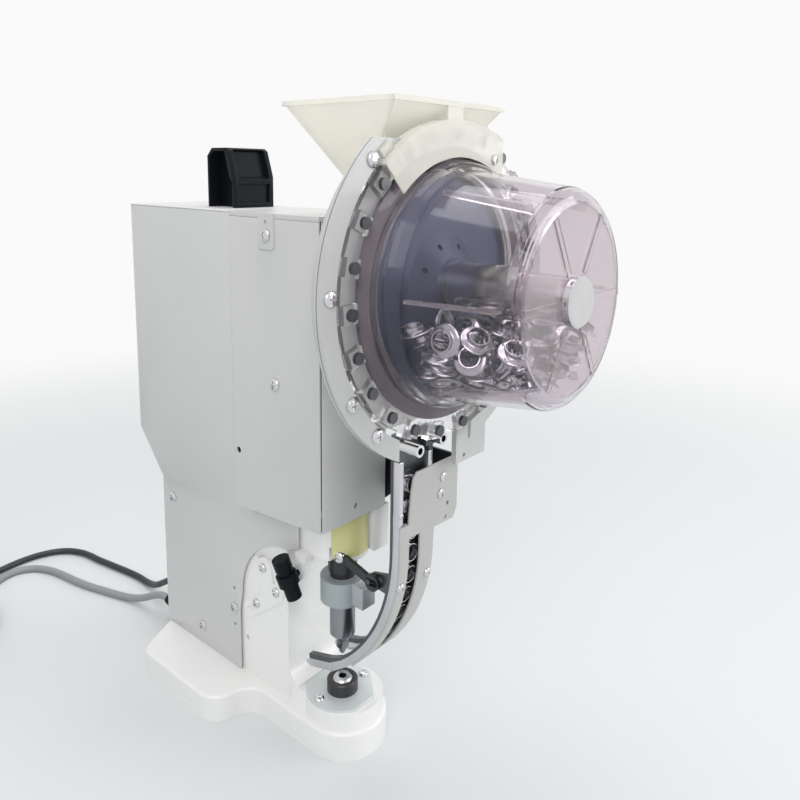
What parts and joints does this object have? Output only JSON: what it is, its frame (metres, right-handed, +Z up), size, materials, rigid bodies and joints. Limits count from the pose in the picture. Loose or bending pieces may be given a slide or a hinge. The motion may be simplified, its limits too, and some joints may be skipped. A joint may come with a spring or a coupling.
{
  "type": "eyelet machine",
  "caption": "Desk eyelet machine: clear rotating drum feeder with a funnel, curved chute, pressing ram over a lower die, and two cables.",
  "frame": {"origin": "in the middle of the round nose of the base, at its underside", "axes": "+Z up, +Y to the machine's back, so the drum and the chute point to -Y; the wide side of the head points to -X"},
  "size_m": [0.3495, 0.7213, 0.487],
  "materials": {
    "white_paint": "semi-gloss, thick cast paint",
    "grey_paint": "satin powder coat",
    "light_paint": "satin powder coat",
    "black_paint": "satin black",
    "bright_steel": "ground",
    "dark_steel": "dark machined",
    "plated": "bright nickel plate",
    "bronze": "turned",
    "clear_plastic": "clear, slightly pink",
    "cream_plastic": "frosted, pale cream",
    "black_plastic": "satin",
    "grey_rubber": "smooth cable jacket",
    "black_rubber": "smooth"
  },
  "bodies": {
    "machine": {"frame_casting": "white_paint", "nose_plate": "bright_steel", "lower_die": "bright_steel", "die_collar": "black_paint", "left_cover": "grey_paint", "right_cover": "grey_paint", "rear_cover": "grey_paint", "side_panel": "light_paint", "front_panel": "light_paint", "front_top_cover": "light_paint", "rear_top_cover": "grey_paint", "hood": "black_plastic", "machine_screws": "plated", "ram_bushes": "bronze", "shaft_bearings": "bright_steel", "drive_belt": "black_rubber", "main_motor": "dark_steel", "drum_motor": "dark_steel", "drum_support": "dark_steel", "ring_back": "light_paint", "ring_front": "light_paint", "drum_eyelets": "plated", "funnel": "cream_plastic", "funnel_guard": "cream_plastic", "chute_support": "black_paint", "chute_pivot_pin": "bright_steel", "chute_stop": "black_paint", "laser_bracket": "white_paint", "cable_glands": "black_plastic", "power_cord": "grey_rubber", "power_coil": "grey_rubber", "power_plug": "black_plastic", "pedal_cord": "black_rubber", "pedal_coil": "black_rubber", "pedal_plug": "bright_steel"},
    "ram": {"ram": "bright_steel", "wrist_pin": "bright_steel", "tool_clamp": "grey_paint", "lock_nut": "black_paint", "punch": "bright_steel", "pilot_spring": "bright_steel"},
    "rod": {"connecting_rod": "dark_steel"},
    "crank": {"crankshaft": "bright_steel", "crank_pulley": "dark_steel"},
    "motor_rotor": {"motor_pulley": "bright_steel"},
    "drum": {"drum_shaft": "bright_steel", "shaft_sleeve": "plated", "drum_back_plate": "dark_steel", "pocket_ring": "clear_plastic", "pocket_nuts": "dark_steel", "drum_shell": "clear_plastic", "drum_front": "clear_plastic", "drum_cap": "plated"},
    "chute": {"chute_rails": "bright_steel", "chute_core": "dark_steel", "chute_cover": "light_paint", "chute_screws": "plated", "chute_eyelets": "plated"},
    "pilot": {"pilot_tip": "bright_steel"},
    "laser": {"laser_pointer": "black_plastic"}
  },
  "joints": [
    {"name": "ram_slide", "type": "slide", "parent": "machine", "child": "ram", "axis": [0, 0, 1], "range_m": [-0.024, 0]},
    {"name": "crank_turn", "type": "hinge", "parent": "machine", "child": "crank", "pos_m": [-0.0025, 0.08, 0.3], "axis": [0, 1, 0], "range_deg": [0, 181]},
    {"name": "motor_turn", "type": "hinge", "parent": "machine", "child": "motor_rotor", "pos_m": [-0.012, 0.1, 0.372], "axis": [0, 1, 0], "range_deg": [0, 362]},
    {"name": "chute_swing", "type": "hinge", "parent": "machine", "child": "chute", "pos_m": [0, -0.038, 0.218], "axis": [1, 0, 0], "range_deg": [-4.2, 0]},
    {"name": "rod_swing", "type": "hinge", "parent": "ram", "child": "rod", "pos_m": [-0.0025, 0, 0.247], "axis": [0, 1, 0], "range_deg": [-10, 10]},
    {"name": "drum_spin", "type": "hinge", "parent": "machine", "child": "drum", "pos_m": [0, -0.1, 0.3725], "axis": [0, 1, 0], "continuous": true},
    {"name": "pilot_slide", "type": "slide", "parent": "ram", "child": "pilot", "axis": [0, 0, 1], "range_m": [0, 0.008], "stiffness_N_per_m": 800, "springref_m": -0.004, "deforming": ["pilot_spring"]},
    {"name": "laser_tilt", "type": "hinge", "parent": "machine", "child": "laser", "pos_m": [-0.027, 0.024, 0.139], "axis": [1, 0, 0], "range_deg": [-8, 8]}
  ],
  "couplings": [
    {"joint": "crank_turn", "follows": "ram_slide", "rad_per_m": -130.9},
    {"joint": "motor_turn", "follows": "ram_slide", "rad_per_m": -261.8},
    {"joint": "chute_swing", "follows": "ram_slide", "rad_per_m": 3}
  ]
}
